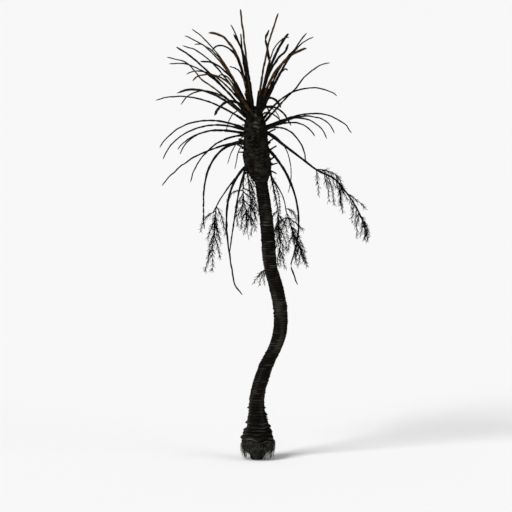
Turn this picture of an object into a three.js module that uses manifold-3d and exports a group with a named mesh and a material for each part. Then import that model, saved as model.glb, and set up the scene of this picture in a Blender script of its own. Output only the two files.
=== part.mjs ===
// A dead palm, about 9 m tall. A slender ringed trunk rises from a swollen root boss, bows sideways and back,
// and carries a swelling of old leaf bases. Bare frond ribs fan out of it, arch over and hang, and branched
// fruit stalks hang from under it. Millimetres, +Z up, +X to the palm's right, -Y its front. The origin is the
// middle of the flat cut at ground level.
import * as THREE from "three";
import Module from "manifold-3d";
import { mergeVertices } from "three/addons/utils/BufferGeometryUtils.js";

const wasm = await Module();
wasm.setup();

// ---- Driving sizes ----------------------------------------------------------------------------------------
const GAP = 0.3; // left between pieces that touch
const WELD = 1e-3; // corners nearer than this are one corner
const STEM_TOP = 7120; // top of the stem, inside the crown
const STEM_SIDES = 14;
const EVEN_FROM = 1250; // height above which the stem is even
const EVEN_STEP = 190; // between the stem's rings there
const UPRIGHT_UNDER = 800; // the stem's rings lie level below this height
const BOOT_FOOT = 5600; // where the old leaf bases begin
const BOOT_TOP = 7040;
const BOOT_SIDES = 17;
const BOOT_LOBES = 6;
const BOOT_LOBE_HEIGHT = 9;
const BOOT_TWIST = Math.PI / 2; // turn of the lobes from foot to top
const SKIRT_SIDES = 16;
const SKIRT_LOBES = 5;
const SKIRT_LOBE_HEIGHT = 9;
const ROOT_SHARE = 0.4; // how far out from the stem's axis a limb starts, over the radius there
const RIB_SIDES = 4;
const RIB_STEPS = 8;
const FINE_STEPS = 10; // small steps a limb is bent in, to each of its rings
const RIB_WIDTH = 57;
const RIB_FLATNESS = 0.85; // thickness over width
const RIB_TIP = 0.5; // width at the tip over width at the root
const RIB_TAPER = 0.8;
const KINK_SPREAD = 0.05; // half the share of a limb's length that a kink takes
const MASS_SIDES = 6;
const MASS_END = 0.16; // a mass's width at its ends over its broadest
const MASS_LUMP = 0.16;
const MASS_WAVES = 5;
const BARK = 0x57514a;
const LEAF_BASE = 0x4a4239;
const ROOTLETS = 0x8c8a84;
const RIB = 0x45382b;
const STALK = 0x4f3d2c;
const STRINGS = 0x3d352d;

// Stem axis: height, offset to the right, offset to the back.
const AXIS = [
  [0, 0, 0],
  [560, 24, 0],
  [900, 4, 0],
  [1250, 2, 10],
  [1810, 150, 40],
  [2420, 425, 80],
  [2900, 475, 85],
  [3430, 395, 60],
  [3900, 270, 20],
  [4430, 225, -10],
  [4850, 185, -25],
  [5540, 95, -20],
  [6050, 0, 0],
  [6650, -30, 0],
  [STEM_TOP, -45, 0],
];

// Stem radius by height: a narrow cut foot, the root boss, the even trunk and the tip in the crown.
const STEM_RADIUS = [
  [0, 112],
  [45, 134],
  [100, 152],
  [200, 235],
  [320, 300],
  [420, 295],
  [520, 262],
  [620, 232],
  [740, 203],
  [880, 172],
  [1020, 154],
  [1250, 148],
  [1810, 144],
  [2900, 138],
  [4430, 135],
  [5540, 124],
  [6300, 118],
  [6900, 100],
  [STEM_TOP, 55],
];

// Outer radius of the fringe of rootlets that hangs round the root boss, by height.
const SKIRT_RADIUS = [
  [12, 205],
  [90, 262],
  [200, 318],
  [330, 345],
  [420, 336],
  [500, 300],
  [550, 262],
];

// Radius of the swelling of old leaf bases, by height.
const BOOT_RADIUS = [
  [BOOT_FOOT, 145],
  [5700, 195],
  [5840, 246],
  [6050, 272],
  [6250, 258],
  [6450, 236],
  [6600, 242],
  [6750, 212],
  [6880, 178],
  [BOOT_TOP, 118],
];

// ---- Helpers ----------------------------------------------------------------------------------------------
const RIGHT = new THREE.Vector3(1, 0, 0);
const BACK = new THREE.Vector3(0, 1, 0);
const UP = new THREE.Vector3(0, 0, 1);
const TANGENT_REACH = 20; // the axis's lean is taken between points this far over and under a ring
const radians = THREE.MathUtils.degToRad;

function byHeight(rows) {
  const width = rows[0].length - 1;
  const heights = new Float32Array(rows.map((row) => row[0]));
  const values = new Float32Array(rows.flatMap((row) => row.slice(1)));
  const spline = new THREE.CubicInterpolant(heights, values, width);
  return (z) => [...spline.evaluate(z)];
}

const axisOffset = byHeight(AXIS);
const stemRadius = byHeight(STEM_RADIUS);
const bootRadius = byHeight(BOOT_RADIUS);

function axisAt(z) {
  const [right, back] = axisOffset(z);
  return new THREE.Vector3(right, back, z);
}

// A horizontal direction: 0 is right, 90 back, 180 left and 270 front.
function heading(azimuth) {
  return new THREE.Vector3(Math.cos(radians(azimuth)), Math.sin(radians(azimuth)), 0);
}

function middle(points) {
  return points.reduce((sum, p) => sum.add(p), new THREE.Vector3()).divideScalar(points.length);
}

// A closed skin over rings that all have the same number of points: a cylinder drawn out over them.
function loft(rings) {
  const sides = rings[0].length;
  const steps = rings.length - 1;
  const skin = new THREE.CylinderGeometry(1, 1, steps, sides, steps);
  skin.deleteAttribute("normal");
  skin.deleteAttribute("uv");
  const places = skin.attributes.position;
  const corner = new THREE.Vector3();
  for (let i = 0; i < places.count; i++) {
    corner.fromBufferAttribute(places, i);
    const level = rings[Math.round(corner.y + steps / 2)];
    const onAxis = Math.hypot(corner.x, corner.z) < 0.5;
    const turn = Math.atan2(corner.x, corner.z) / (2 * Math.PI);
    const spot = onAxis ? middle(level) : level[(Math.round(turn * sides) + sides) % sides];
    places.setXYZ(i, spot.x, spot.y, spot.z);
  }
  return skin;
}

function toSolid(geometry) {
  const merged = mergeVertices(geometry, WELD);
  return new wasm.Manifold(
    new wasm.Mesh({
      numProp: 3,
      vertProperties: merged.attributes.position.array,
      triVerts: new Uint32Array(merged.index.array),
    }),
  );
}

function toGeometry(solid) {
  const mesh = solid.getMesh();
  const geometry = new THREE.BufferGeometry();
  geometry.setAttribute("position", new THREE.BufferAttribute(new Float32Array(mesh.vertProperties), 3));
  geometry.setIndex(new THREE.BufferAttribute(new Uint32Array(mesh.triVerts), 1));
  return geometry;
}

function biggestPiece(solid) {
  return solid.decompose().reduce((a, b) => (a.volume() > b.volume() ? a : b));
}

// A ring of points round a centre, in the plane of two directions.
function ring(centre, across, upward, count, radiusAt) {
  return Array.from({ length: count }, (_, j) => {
    const turn = (2 * Math.PI * j) / count;
    const [a, b] = radiusAt(turn);
    const point = centre.clone().addScaledVector(across, a * Math.cos(turn));
    return point.addScaledVector(upward, b * Math.sin(turn));
  });
}

// A solid over rings stacked from foot to top, its two ends moved out by extra.
function stack(rings, extra) {
  rings[0].forEach((point) => point.addScaledVector(UP, -extra));
  rings[rings.length - 1].forEach((point) => point.addScaledVector(UP, extra));
  return toSolid(loft(rings));
}

// ---- Stem and old leaf bases ------------------------------------------------------------------------------
function stemLevels() {
  const levels = [0, 45, 100, 150, 200, 260, 320, 420, 520, 620, 740, 880, 1020, 1120];
  const even = Math.round((STEM_TOP - EVEN_FROM) / EVEN_STEP);
  for (let i = 0; i <= even; i++) {
    levels.push(EVEN_FROM + ((STEM_TOP - EVEN_FROM) * i) / even);
  }
  return levels;
}

function stemRing(z, extra) {
  const tangent = axisAt(Math.min(z + TANGENT_REACH, STEM_TOP)).sub(axisAt(Math.max(z - TANGENT_REACH, 0)));
  if (z < UPRIGHT_UNDER) tangent.copy(UP);
  const across = new THREE.Vector3().crossVectors(BACK, tangent).normalize();
  const back = new THREE.Vector3().crossVectors(tangent, across).normalize();
  const radius = stemRadius(z)[0] + extra;
  return ring(axisAt(z), across, back, STEM_SIDES, () => [radius, radius]);
}

function stemSolid(extra = 0) {
  return stack(stemLevels().map((z) => stemRing(z, extra)), extra);
}

function bootRing(z, extra) {
  const share = (z - BOOT_FOOT) / (BOOT_TOP - BOOT_FOOT);
  const lobe = BOOT_LOBE_HEIGHT * Math.sin(Math.PI * share);
  const lobed = (turn) => {
    const radius = bootRadius(z)[0] + lobe * Math.cos(BOOT_LOBES * turn + share * BOOT_TWIST) + extra;
    return [radius, radius];
  };
  return ring(axisAt(z), RIGHT, BACK, BOOT_SIDES, lobed);
}

function bootSolid(extra = 0) {
  const levels = [BOOT_FOOT, 5650, 5720, 5840, 6050, 6250, 6450, 6600, 6750, 6880, 6970, BOOT_TOP];
  return stack(levels.map((z) => bootRing(z, extra)), extra);
}

function skirtRing(z, radius, extra) {
  const lobed = (turn) => {
    const lobe = SKIRT_LOBE_HEIGHT * Math.cos(SKIRT_LOBES * turn + radius);
    return [radius + lobe + extra, radius + lobe + extra];
  };
  return ring(axisAt(z), RIGHT, BACK, SKIRT_SIDES, lobed);
}

function skirtSolid(extra = 0) {
  return stack(SKIRT_RADIUS.map(([z, radius]) => skirtRing(z, radius, extra)), extra);
}

// ---- Ribs -------------------------------------------------------------------------------------------------
// Each row is one bare frond rib: the way it points, the height of its root on the stem, its lift above level
// where it starts, how many degrees it has bent down by its tip, its curl (over 1 bends late, under -1 bends
// early), its length and its width at the root. A kink is an old break: [share of length, degrees]. Twins grow
// from the same root as the first. A split row is two nodes, cut at that share of its length.
const RIBS = {
  spear_left_tall: { azimuth: 195, root: 7040, lift: 83, droop: 0, length: 2040 },
  spear_right_tall: { azimuth: 350, root: 7030, lift: 82, droop: 15, curl: 2.5, length: 2000 },
  spear_front: { azimuth: 235, root: 7010, lift: 80, droop: 40, curl: 2, length: 1780 },
  spear_left_curled: {
    azimuth: 170, root: 6980, lift: 77, droop: 84, curl: 4, length: 1960, width: 74,
    twins: [{ droop: 140, curl: 5, length: 1780, sway: 14 }],
  },
  spear_back: {
    azimuth: 118, root: 6990, lift: 66, droop: 76, curl: 1.8, length: 1420,
    twins: [
      { lift: 60, droop: 40, curl: 2.5, length: 2000, sway: -30 },
      { lift: 72, droop: 30, curl: 3, length: 1900, sway: 12 },
    ],
  },
  left_high_1: { azimuth: 158, root: 6940, lift: 62, droop: 31, curl: 2.2, length: 2150 },
  left_high_2: { azimuth: 189, root: 6930, lift: 63, droop: 46, curl: 2.5, length: 2160 },
  left_high_3: { azimuth: 144, root: 6900, lift: 57, droop: 68, curl: 4, length: 2090 },
  left_high_4: { azimuth: 207, root: 6900, lift: 55, droop: 44, curl: 3, length: 2190 },
  left_high_5: {
    azimuth: 180, root: 6860, lift: 49, droop: 20, curl: 3, length: 2090,
    twins: [{ droop: 64, length: 2080, sway: -12 }],
  },
  left_high_6: {
    azimuth: 221, root: 6930, lift: 58, droop: 62, curl: 2.5, length: 1880,
    twins: [{ lift: 53, droop: 90, length: 1860, sway: -8, width: 70 }],
  },
  left_high_7: {
    azimuth: 130, root: 6900, lift: 46, droop: 112, curl: 6, length: 1440,
    twins: [{ lift: 38, droop: 70, curl: 3.4, length: 2060, sway: 16 }],
  },
  left_mid_1: {
    azimuth: 170, root: 6820, lift: 43, droop: 36, curl: 2, length: 2160,
    kinks: [[0.6, 24], [0.82, -26]],
  },
  left_mid_2: {
    azimuth: 150, root: 6790, lift: 36, droop: 64, curl: 2.2, length: 1910,
    twins: [{ droop: 58, length: 1780, sway: 6 }],
  },
  left_mid_3: { azimuth: 211, root: 6790, lift: 45, droop: 102, curl: 2.3, length: 1950 },
  left_mid_4: { azimuth: 184, root: 6740, lift: 35, droop: 54, curl: 1.7, length: 2050 },
  left_mid_5: {
    azimuth: 238, root: 6830, lift: 46, droop: 92, curl: 1.5, length: 1640, width: 74,
    twins: [{ droop: 116, curl: 1.2, length: 1400, width: 38, sway: 10 }],
  },
  left_low_1: { azimuth: 190, root: 6620, lift: 25, droop: 86, curl: 1.5, length: 2060, split: 0.5 },
  left_low_2: { azimuth: 168, root: 6600, lift: 18, droop: 88, curl: 1.4, length: 2110 },
  left_low_3: {
    azimuth: 150, root: 6530, lift: 8, droop: 62, curl: 2, length: 1840,
    twins: [{ lift: 1, droop: 78, curl: 1.1, sway: 8 }],
  },
  left_low_4: { azimuth: 214, root: 6560, lift: 12, droop: 78, curl: 2.5, length: 1880 },
  left_low_5: { azimuth: 180, root: 6450, lift: -10, droop: 46, curl: 1.6, length: 2070 },
  left_low_6: { azimuth: 200, root: 6310, lift: 34, droop: 127, curl: -2.4, length: 2340, width: 72 },
  left_low_7: {
    azimuth: 250, root: 6560, lift: 8, droop: 80, curl: 1.2, length: 1360, width: 38,
    twins: [{ lift: 14, sway: -16 }],
  },
  left_hanging: {
    azimuth: 192, root: 6010, lift: -30, droop: 70, curl: -3.1, length: 2900, width: 66,
    kinks: [[0.91, -26]],
  },
  back_low_1: {
    azimuth: 100, root: 6480, lift: -16, droop: 55, length: 1340, width: 42,
    twins: [{ lift: -7, droop: 55, length: 1740, width: 57, sway: -10 }],
  },
  back_low_2: {
    azimuth: 84, root: 6700, lift: 8, droop: 62, length: 1800,
    twins: [
      { lift: 20, droop: 60, length: 1900, sway: -24 },
      { lift: 34, droop: 84, length: 1900, sway: -8 },
    ],
  },
  right_high_1: {
    azimuth: 35, root: 6970, lift: 73, droop: 2, length: 1740, width: 64,
    kinks: [[0.6, 32], [0.9, -48]],
    twins: [{ lift: 75, droop: 20, curl: 2, length: 1640, width: 57, sway: -20, kinks: [] }],
  },
  right_high_2: {
    azimuth: 332, root: 6970, lift: 77, droop: 26, curl: 1.6, length: 1800, width: 80,
    twins: [{ droop: 78, curl: 6, length: 1780, width: 53, sway: 12 }],
  },
  right_high_3: {
    azimuth: 312, root: 6930, lift: 73, droop: 56, curl: 2, length: 1800, width: 66,
    kinks: [[0.9, 44]],
  },
  right_high_4: {
    azimuth: 16, root: 6920, lift: 74, droop: 64, curl: 2, length: 1760, width: 78,
    twins: [
      { lift: 66, droop: 50, curl: 3, length: 1660, width: 70, sway: 32 },
      { lift: 60, droop: 95, curl: 5, length: 1320, width: 70, sway: 50 },
    ],
  },
  right_high_5: { azimuth: 354, root: 6890, lift: 67, droop: 16, length: 1960, width: 66 },
  right_high_6: { azimuth: 26, root: 6860, lift: 62, droop: 48, curl: 4, length: 2060 },
  right_mid_1: {
    azimuth: 345, root: 6700, lift: 48, droop: 54, curl: 4, length: 1980,
    kinks: [[0.55, 12]],
  },
  right_mid_2: { azimuth: 8, root: 6740, lift: 58, droop: 96, curl: 1.5, length: 1880 },
  right_mid_3: {
    azimuth: 298, root: 6880, lift: 60, droop: 110, curl: 1.5, length: 1240, width: 72,
    twins: [
      { lift: 46, droop: 106, length: 1000, width: 38, sway: 8 },
      { lift: 52, droop: 116, curl: 1.1, length: 1330, sway: 20 },
    ],
  },
  right_low_1: { azimuth: 356, root: 6620, lift: 28, droop: 88, curl: 2, length: 2030, split: 0.5 },
  right_low_2: { azimuth: 334, root: 6600, lift: 25, droop: 96, curl: 3, length: 1830 },
  right_low_3: {
    azimuth: 32, root: 6640, lift: 20, droop: 90, curl: 2, length: 1810,
    twins: [{ lift: 12, droop: 62, length: 1630, sway: 24 }],
  },
  right_low_4: { azimuth: 314, root: 6590, lift: 26, droop: 112, curl: 1.4, length: 1690 },
  right_low_5: { azimuth: 14, root: 6620, lift: -4, droop: 96, curl: -1.7, length: 1580, width: 38 },
  right_hanging: {
    azimuth: 2, root: 6400, lift: -41, droop: 85, curl: 1.05, length: 3130, width: 68,
    kinks: [[0.87, 52]],
  },
};

// Fruit stalks hang from under the old leaf bases. Each ends in a tassel of bare strings.
const STALKS = {
  left_stalk: { azimuth: 170, root: 6040, lift: -47, droop: 17, length: 1340, width: 57 },
  right_stalk: { azimuth: 346, root: 5960, lift: -55, droop: 36, curl: 4, length: 1010, width: 53 },
  far_right_stalk: {
    azimuth: 352, root: 6700, lift: -36, droop: 41, curl: 3.5, length: 3160, width: 72,
    kinks: [[0.45, 17], [0.57, -22]],
  },
  left_inner_stalk: {
    azimuth: 200, root: 5950, lift: -66, droop: 16, curl: -3, length: 1780, width: 60, out: 0.85,
    twins: [{ lift: -70, droop: 50, curl: 1, length: 1240, width: 74 }],
  },
  trunk_left_stalk: { azimuth: 206, root: 5920, lift: -97, droop: 0, length: 800, width: 48, out: 0.95 },
  trunk_right_stalk: { azimuth: 10, root: 5800, lift: -78, droop: 2, length: 900, width: 53, out: 0.95 },
};

// Tassels: the stalk each hangs from, where along it, how steeply it hangs, its length, and its half width
// and half depth where it is broadest, at that share of its length.
const TASSELS = {
  left_tassel: { stalk: "left_stalk", at: 0.9, lift: -84, length: 1360, wide: 175, deep: 130, broad: 0.22 },
  right_tassel: { stalk: "right_stalk", at: 1, lift: -72, length: 1180, wide: 190, deep: 150, broad: 0.45 },
  far_right_tassel_1: {
    stalk: "far_right_stalk", at: 0.46, lift: -68, length: 640, wide: 160, deep: 120, broad: 0.4,
  },
  far_right_tassel_2: {
    stalk: "far_right_stalk", at: 0.56, lift: -60, length: 1330, wide: 175, deep: 130, broad: 0.45,
  },
  trunk_left_tassel: {
    stalk: "trunk_left_stalk", at: 1, lift: -92, length: 740, wide: 50, deep: 60, broad: 0.25,
  },
  trunk_right_tassel: {
    stalk: "trunk_right_stalk", at: 0.9, lift: -89, length: 1200, wide: 95, deep: 85, broad: 0.45,
  },
};
const TUFT = { root: 3840, azimuth: 185, lift: -52, length: 380, wide: 90, deep: 80, broad: 0.55 };

// How far along its whole bend a rib is at a share u of its length.
function bent(u, curl) {
  return curl > 0 ? u ** curl : 1 - (1 - u) ** -curl;
}

// The middle line of a limb, in the upright plane its azimuth points along.
function limbLine({ azimuth, lift, droop = 0, length, curl = 1.5, kinks = [], sway = 0, start }) {
  const point = start.clone();
  const line = [point.clone()];
  const count = RIB_STEPS * FINE_STEPS;
  for (let i = 0; i < count; i++) {
    const u = (i + 0.5) / count;
    let angle = lift - droop * bent(u, curl);
    for (const [at, by] of kinks) {
      angle += by * THREE.MathUtils.smoothstep(u, at - KINK_SPREAD, at + KINK_SPREAD);
    }
    const out = heading(azimuth + sway * u);
    point.addScaledVector(out, (length / count) * Math.cos(radians(angle)));
    point.addScaledVector(UP, (length / count) * Math.sin(radians(angle)));
    if (i % FINE_STEPS === FINE_STEPS - 1) line.push(point.clone());
  }
  return line;
}

// The point at a share of a line's length.
function pointAlong(line, share) {
  const place = share * (line.length - 1);
  const i = Math.min(Math.floor(place), line.length - 2);
  return line[i].clone().lerp(line[i + 1], place - i);
}

// Where a limb starts: inside the stem or the leaf bases, on its own side.
function rootPoint({ azimuth, root, out = ROOT_SHARE }) {
  return axisAt(root).addScaledVector(heading(azimuth), bootRadius(root)[0] * out);
}

// Rings across a line, level from side to side. halves(u) gives the half width and half thickness.
function limbRings(line, azimuth, sides, halves) {
  const level = heading(azimuth + 90);
  return line.map((p, i) => {
    const next = line[Math.min(i + 1, line.length - 1)];
    const tangent = next.clone().sub(line[Math.max(i - 1, 0)]).normalize();
    const across = level.clone().addScaledVector(tangent, -level.dot(tangent)).normalize();
    const upward = new THREE.Vector3().crossVectors(tangent, across);
    const [half, thick] = halves(i / (line.length - 1));
    return ring(p, across, upward, sides, () => [half, thick]);
  });
}

function ribRings(row, extra) {
  const line = limbLine({ ...row, start: rootPoint(row) });
  const width = row.width ?? RIB_WIDTH;
  const halves = (u) => {
    const half = (width / 2) * (1 - (1 - RIB_TIP) * u ** RIB_TAPER) + extra;
    return [half, half * RIB_FLATNESS];
  };
  return limbRings(line, row.azimuth, RIB_SIDES, halves);
}

// One rib with its twins, as one or two solids.
function ribSolids(row, extra = 0) {
  const rings = ribRings(row, extra);
  if (row.split) {
    const cut = Math.round(row.split * RIB_STEPS);
    const along = rings[cut + 1][0].clone().sub(rings[cut][0]).setLength(GAP);
    const outer = rings.slice(cut);
    outer[0] = outer[0].map((p) => p.clone().add(along));
    return [toSolid(loft(rings.slice(0, cut + 1))), toSolid(loft(outer))];
  }
  let solid = toSolid(loft(rings));
  for (const twin of row.twins ?? []) {
    solid = solid.add(toSolid(loft(ribRings({ ...row, ...twin }, extra))));
  }
  return [solid];
}

// An uneven closed mass along a line, thickest at its broadest share and pinched at both ends.
function massSolid(row, start, extra = 0) {
  const line = limbLine({ ...row, start });
  const halves = (u) => {
    const opening = Math.sin((Math.PI / 2) * (u / row.broad));
    const closing = 1 - (u - row.broad) / (1 - row.broad);
    const swell = u < row.broad ? opening : Math.max(closing, 0);
    const uneven = 1 + MASS_LUMP * Math.sin(MASS_WAVES * Math.PI * u + row.azimuth);
    const share = MASS_END + (1 - MASS_END) * swell * uneven;
    return [row.deep * share + extra, row.wide * share + extra];
  };
  return toSolid(loft(limbRings(line, row.azimuth, MASS_SIDES, halves)));
}

// ---- Put together -----------------------------------------------------------------------------------------
const group = new THREE.Group();
group.name = "dead_palm";
const taken = [];

function addNode(name, color, solid, grown) {
  let free = solid;
  for (const other of taken) free = free.subtract(other);
  const geometry = toGeometry(biggestPiece(free));
  const mesh = new THREE.Mesh(geometry, new THREE.MeshStandardMaterial({ color, roughness: 0.9 }));
  mesh.name = name;
  group.add(mesh);
  taken.push(grown);
}

addNode("trunk", BARK, stemSolid(), stemSolid(GAP));
addNode("leaf_bases", LEAF_BASE, bootSolid(), bootSolid(GAP));
addNode("root_skirt", ROOTLETS, skirtSolid(), skirtSolid(GAP));
for (const [name, row] of Object.entries(RIBS)) {
  const solids = ribSolids(row);
  const grown = ribSolids(row, GAP);
  const names = row.split ? [`${name}_inner`, `${name}_outer`] : [name];
  const keep = [...taken];
  solids.forEach((solid, i) => {
    addNode(names[i], RIB, solid, grown[i]);
    taken.splice(0, taken.length, ...keep);
  });
  taken.push(...grown);
}
const stalkLines = {};
for (const [name, row] of Object.entries(STALKS)) {
  stalkLines[name] = limbLine({ ...row, start: rootPoint(row) });
  addNode(name, STALK, ribSolids(row)[0], ribSolids(row, GAP)[0]);
}
for (const [name, row] of Object.entries(TASSELS)) {
  const full = { ...row, azimuth: STALKS[row.stalk].azimuth };
  const start = pointAlong(stalkLines[row.stalk], row.at);
  addNode(name, STRINGS, massSolid(full, start), massSolid(full, start, GAP));
}
const tuftOut = stemRadius(TUFT.root)[0] * ROOT_SHARE;
const tuftStart = axisAt(TUFT.root).addScaledVector(heading(TUFT.azimuth), tuftOut);
addNode("trunk_tuft", STRINGS, massSolid(TUFT, tuftStart), massSolid(TUFT, tuftStart, GAP));

export default group;
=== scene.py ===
"""A dead palm, about 9 m tall: trunk, root boss with rootlets, old leaf bases, bare ribs and fruit stalks."""
import math
import random
import bpy
import numpy as np
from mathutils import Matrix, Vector


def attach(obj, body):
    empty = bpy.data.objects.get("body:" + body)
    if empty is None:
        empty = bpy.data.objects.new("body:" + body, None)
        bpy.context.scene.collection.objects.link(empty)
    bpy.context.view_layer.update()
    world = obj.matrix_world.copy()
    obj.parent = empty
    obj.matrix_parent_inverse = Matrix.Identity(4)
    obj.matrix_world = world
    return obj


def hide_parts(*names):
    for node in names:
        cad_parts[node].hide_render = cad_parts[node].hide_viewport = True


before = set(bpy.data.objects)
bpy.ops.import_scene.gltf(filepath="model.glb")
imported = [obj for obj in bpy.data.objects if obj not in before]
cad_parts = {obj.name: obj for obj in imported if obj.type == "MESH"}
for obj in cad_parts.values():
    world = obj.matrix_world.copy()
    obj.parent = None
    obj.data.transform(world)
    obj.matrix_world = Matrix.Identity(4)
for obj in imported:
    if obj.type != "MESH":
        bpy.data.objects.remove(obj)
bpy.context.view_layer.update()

# ---- Trunk ------------------------------------------------------------------------------------------------
# The one stem of the palm: a column of fibrous wood that thickens into a boss where it roots. Each fallen
# frond left a level scar round it, so the bark is a stack of uneven ledges, coarse at the foot, fine above.
STEM_TOP = 7.12
STEM_AXIS = [  # height, offset to the right, offset to the back
    (0, 0, 0), (0.56, 0.024, 0), (0.9, 0.004, 0), (1.25, 0.002, 0.01), (1.81, 0.15, 0.04),
    (2.42, 0.425, 0.08), (2.9, 0.475, 0.085), (3.43, 0.395, 0.06), (3.9, 0.27, 0.02),
    (4.43, 0.225, -0.01), (4.85, 0.185, -0.025), (5.54, 0.095, -0.02), (6.05, 0, 0),
    (6.65, -0.03, 0), (STEM_TOP, -0.045, 0),
]
STEM_RADIUS = [  # height, radius
    (0, 0.112), (0.045, 0.134), (0.1, 0.152), (0.2, 0.235), (0.32, 0.3), (0.42, 0.295), (0.52, 0.262),
    (0.62, 0.232), (0.74, 0.203), (0.88, 0.172), (1.02, 0.154), (1.25, 0.148), (1.81, 0.144), (2.9, 0.138),
    (4.43, 0.135), (5.54, 0.124), (6.3, 0.118), (6.9, 0.1), (STEM_TOP, 0.055),
]
BARK_SIDES = 56
GOLDEN_TURN = 2.39996  # radians round the stem from one frond to the next
RING_SHARES = (0.0, 0.07, 0.2, 0.34, 0.48, 0.62, 0.76, 0.9)  # of a ledge's height, where the mesh has a ring
LEDGE_HEIGHT, COARSE_EXTRA = 0.044, 0.026  # mean height of a ledge up the trunk, and what the boss adds to it
LEDGE_SPREAD = (0.6, 1.45)  # a ledge's own height over the mean
LEAST_LEDGE = 0.03
BOSS_HEIGHT, BOSS_REACH = 0.42, 0.34  # the middle of the boss, and how far up and down its coarse bark goes
KNOB_FOOT, KNOB_TOP = 0.3, 1.1  # between these heights most ledges have knobs
KNOBS, KNOB_SIZE = 4, 0.034  # on one ledge, and how far they stand out
PLAIN_SHARE = 0.25  # of the ledges there have none
WORN_STRETCHES = ((4.85, 0.2), (4.1, 0.25), (3.05, 0.2), (2.3, 0.15), (1.3, 0.22))  # height, half length


def by_height(rows):
    """A smooth curve through rows of (height, values), as a function of an array of heights."""
    rows = np.array(rows, float)
    places, values = rows[:, 0], rows[:, 1:]

    def at(z):
        z = np.atleast_1d(np.asarray(z, float))
        i = np.clip(np.searchsorted(places, z, side="right") - 1, 0, len(places) - 2)
        before = np.where(i > 0, i - 1, i + 1)
        after = np.where(i < len(places) - 2, i + 2, i)
        half = (places[i + 1] - places[i]) / 2
        pull = (half / (places[i] - places[before]))[:, None]
        push = (half / (places[after] - places[i + 1]))[:, None]
        p = np.clip((z - places[i]) / (places[i + 1] - places[i]), 0, 1)[:, None]
        s_before = -pull * p**3 + 2 * pull * p**2 - pull * p
        s_here = (1 + pull) * p**3 + (-1.5 - 2 * pull) * p**2 + (-0.5 + pull) * p + 1
        s_next = (-1 - push) * p**3 + (1.5 + push) * p**2 + 0.5 * p
        s_after = push * p**3 - push * p**2
        return (s_before * values[before] + s_here * values[i] + s_next * values[i + 1]
                + s_after * values[after])

    return at


stem_offset = by_height(STEM_AXIS)
stem_radius = by_height(STEM_RADIUS)


def waves(turn, z, seed, around, along, count=7):
    """Smooth uneven values from about -1 to 1 over the turn round the stem and the height."""
    rng = np.random.default_rng(seed)
    total = np.zeros(np.broadcast(turn, z).shape)
    for _ in range(count):
        k = rng.integers(around[0], around[1] + 1)
        total += np.cos(k * turn + rng.uniform(*along) * z * rng.choice((-1, 1)) + rng.uniform(0, 6.28))
    return total / math.sqrt(count)


def per_ledge(values, ledge):
    """One value for each ledge, as a column over all the rings."""
    return values[ledge][:, None]


def ledge_profile(shares):
    """How far a ledge stands out at each share of its height, from 0 at its scars to 1."""
    return np.sin(np.pi * shares ** 0.7)[:, None]


def column_points(centre, radius, turn, height):
    """The points of a ringed column, ring after ring."""
    x = centre[:, 0:1] + radius * np.cos(turn)
    y = centre[:, 1:2] + radius * np.sin(turn)
    return np.stack([x, y, height + 0 * x], -1).reshape(-1, 3)


def mesh_object(name, points, faces):
    mesh = bpy.data.meshes.new(name)
    mesh.from_pydata(points, [], faces)
    mesh.update()
    piece = bpy.data.objects.new(name, mesh)
    bpy.context.scene.collection.objects.link(piece)
    return piece


def tube_faces(rings, sides):
    """Faces of a closed tube of so many rings, facing out, with a flat cap on each end."""
    faces = []
    for i in range(rings - 1):
        for j in range(sides):
            a, b = i * sides + j, i * sides + (j + 1) % sides
            faces.append((a, b, b + sides, a + sides))
    faces.append(tuple(range(sides - 1, -1, -1)))
    faces.append(tuple(range((rings - 1) * sides, rings * sides)))
    return faces


def smooth(piece):
    piece.data.polygons.foreach_set("use_smooth", [True] * len(piece.data.polygons))


def store(piece, **values):
    """Keep a value for each point of the piece under each name, for its material to read."""
    for name, numbers in values.items():
        piece.data.attributes.new(name, "FLOAT", "POINT").data.foreach_set("value", np.ravel(numbers))


def new_material(name, roughness):
    """A material with its shader at the given roughness: (material, nodes, links, shader)."""
    mat = bpy.data.materials.new(name)
    mat.use_nodes = True
    nodes, links = mat.node_tree.nodes, mat.node_tree.links
    shader = nodes["Principled BSDF"]
    shader.inputs["Roughness"].default_value = roughness
    shader.inputs["Specular IOR Level"].default_value = 0.03
    return mat, nodes, links, shader


def stretched_noise(nodes, links, stretch, scale, detail=6.0):
    """Noise on the piece's own place, squeezed by stretch along each axis."""
    coords = nodes.new("ShaderNodeTexCoord")
    mapping = nodes.new("ShaderNodeMapping")
    mapping.inputs["Scale"].default_value = stretch
    noise = nodes.new("ShaderNodeTexNoise")
    noise.inputs["Scale"].default_value = scale
    noise.inputs["Detail"].default_value = detail
    noise.inputs["Roughness"].default_value = 0.65
    links.new(coords.outputs["Object"], mapping.inputs["Vector"])
    links.new(mapping.outputs["Vector"], noise.inputs["Vector"])
    return noise.outputs["Fac"]


def colour_ramp(nodes, links, value, stops):
    ramp = nodes.new("ShaderNodeValToRGB")
    ramp.color_ramp.elements[0].position, ramp.color_ramp.elements[-1].position = stops[0][0], stops[-1][0]
    ramp.color_ramp.elements[0].color = (*stops[0][1], 1)
    ramp.color_ramp.elements[-1].color = (*stops[-1][1], 1)
    for place, colour in stops[1:-1]:
        ramp.color_ramp.elements.new(place).color = (*colour, 1)
    links.new(value, ramp.inputs["Fac"])
    return ramp.outputs["Color"]


def add_bump(nodes, links, shader, height, distance, strength=0.6):
    bump = nodes.new("ShaderNodeBump")
    bump.inputs["Distance"].default_value = distance
    bump.inputs["Strength"].default_value = strength
    links.new(height, bump.inputs["Height"])
    links.new(bump.outputs["Normal"], shader.inputs["Normal"])


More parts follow.
